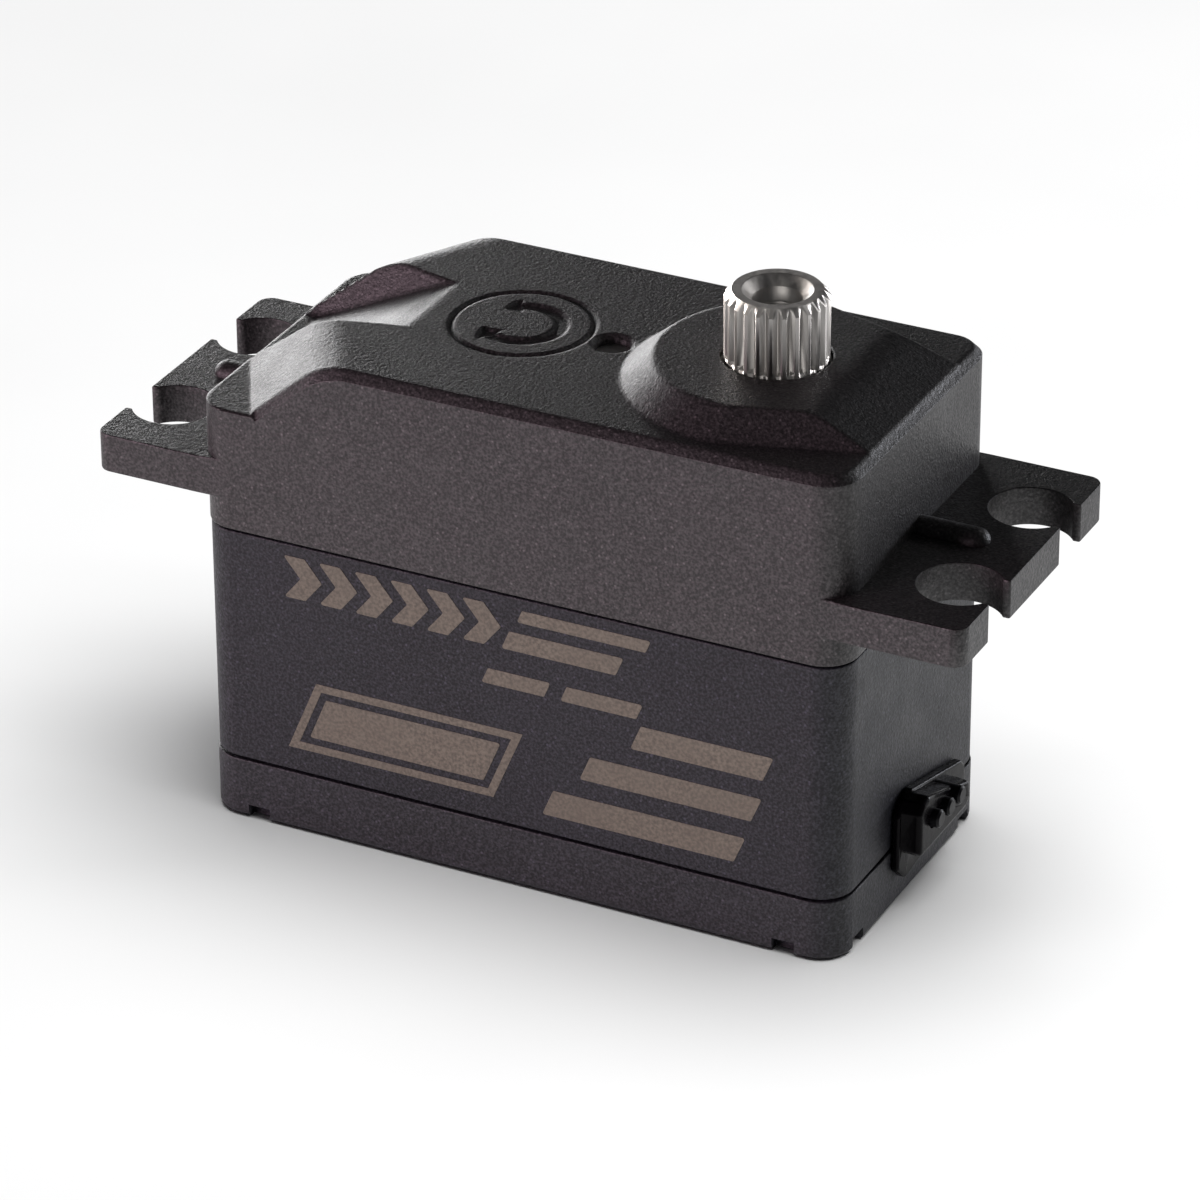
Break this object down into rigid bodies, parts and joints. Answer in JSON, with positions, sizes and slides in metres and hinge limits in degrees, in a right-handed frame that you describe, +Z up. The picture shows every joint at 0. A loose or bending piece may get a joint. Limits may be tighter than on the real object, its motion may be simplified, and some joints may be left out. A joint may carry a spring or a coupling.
{
  "type": "servo motor",
  "caption": "Compact position servo: box housing with slotted mounting ears, splined metal output shaft, geared motor, feedback pot and control board inside.",
  "frame": {"origin": "on the output shaft's axis, in the plane of the bottom cover's flat underside", "axes": "+Z up along the output shaft, +X towards the end with the shaft and the cable, +Y towards the far long side"},
  "size_m": [0.0544, 0.0202, 0.0362],
  "materials": {
    "top_plastic": "fine spark-eroded texture, black",
    "lower_plastic": "fine spark-eroded texture, slightly bluish black",
    "black_steel": "black oxide",
    "shaft_steel": "turned and broached, bright",
    "can_steel": "zinc plated",
    "brass": "machined",
    "copper": "enamelled copper",
    "ferrite": "sintered, matte",
    "laminations": "stamped electrical steel",
    "pale_plastic": "moulded",
    "resistor_track": "phenolic sheet",
    "board_laminate": "solder mask, green",
    "chip_resin": "moulded epoxy",
    "capacitor_sleeve": "shrunk sleeve",
    "rubber": "moulded rubber, satin",
    "lead_black": "insulation, black",
    "wire_yellow": "insulation",
    "wire_red": "insulation",
    "wire_brown": "insulation"
  },
  "bodies": {
    "housing": {"bottom_cover": "lower_plastic", "cable_grommet": "rubber", "capacitor": "capacitor_sleeve", "case_screw_1": "black_steel", "case_screw_2": "black_steel", "case_screw_3": "black_steel", "case_screw_4": "black_steel", "circuit_board": "board_laminate", "controller_chip": "chip_resin", "driver_chip_1": "chip_resin", "driver_chip_2": "chip_resin", "gear_pin": "shaft_steel", "lead_ground": "lead_black", "lead_power": "lead_black", "lead_signal": "lead_black", "lower_bushing": "brass", "middle_case": "lower_plastic", "motor_brush_1": "brass", "motor_brush_2": "brass", "motor_can": "can_steel", "motor_end_cap": "pale_plastic", "motor_front_bushing": "brass", "motor_magnet_1": "ferrite", "motor_magnet_2": "ferrite", "motor_screw_1": "black_steel", "motor_screw_2": "black_steel", "motor_terminal_1": "brass", "motor_terminal_2": "brass", "pot_base": "resistor_track", "pot_body": "pale_plastic", "pot_wire_1": "wire_yellow", "pot_wire_2": "wire_red", "pot_wire_3": "wire_brown", "top_case": "top_plastic", "upper_bearing_outer_ring": "shaft_steel"},
    "output": {"output_shaft": "shaft_steel", "upper_bearing_inner_ring": "shaft_steel", "pot_shaft": "shaft_steel", "pot_wiper": "brass"},
    "third_gear": {"third_gear": "shaft_steel"},
    "second_gear": {"second_gear": "shaft_steel"},
    "first_gear": {"first_gear": "brass"},
    "bearing_cage": {"upper_bearing_ball_cage": "brass"},
    "rotor": {"motor_shaft": "shaft_steel", "motor_pinion": "brass", "rotor_core": "laminations", "rotor_winding_1": "copper", "rotor_winding_2": "copper", "rotor_winding_3": "copper", "commutator": "copper"}
  },
  "joints": [
    {"name": "rotor_spin", "type": "hinge", "parent": "housing", "child": "rotor", "pos_m": [-0.0195, 0, 0], "axis": [0, 0, 1], "range_deg": [-6500, 6500]},
    {"name": "first_gear_spin", "type": "hinge", "parent": "housing", "child": "first_gear", "pos_m": [-0.0102, 0, 0], "axis": [0, 0, 1], "range_deg": [-1103.8, 1103.8]},
    {"name": "second_gear_spin", "type": "hinge", "parent": "housing", "child": "second_gear", "pos_m": [0, 0, 0], "axis": [0, 0, 1], "range_deg": [-460, 460]},
    {"name": "third_gear_spin", "type": "hinge", "parent": "housing", "child": "third_gear", "pos_m": [-0.0102, 0, 0], "axis": [0, 0, 1], "range_deg": [-141.6, 141.6]},
    {"name": "output_turn", "type": "hinge", "parent": "housing", "child": "output", "pos_m": [0, 0, 0], "axis": [0, 0, 1], "range_deg": [-65, 65]},
    {"name": "bearing_cage_spin", "type": "hinge", "parent": "housing", "child": "bearing_cage", "pos_m": [0, 0, 0], "axis": [0, 0, 1], "range_deg": [-27.5, 27.5]}
  ],
  "couplings": [
    {"joint": "first_gear_spin", "follows": "rotor_spin", "ratio": -0.16981},
    {"joint": "second_gear_spin", "follows": "rotor_spin", "ratio": 0.070755},
    {"joint": "third_gear_spin", "follows": "rotor_spin", "ratio": -0.021771},
    {"joint": "output_turn", "follows": "rotor_spin", "ratio": 0.0099523},
    {"joint": "bearing_cage_spin", "follows": "rotor_spin", "ratio": 0.0042297}
  ]
}
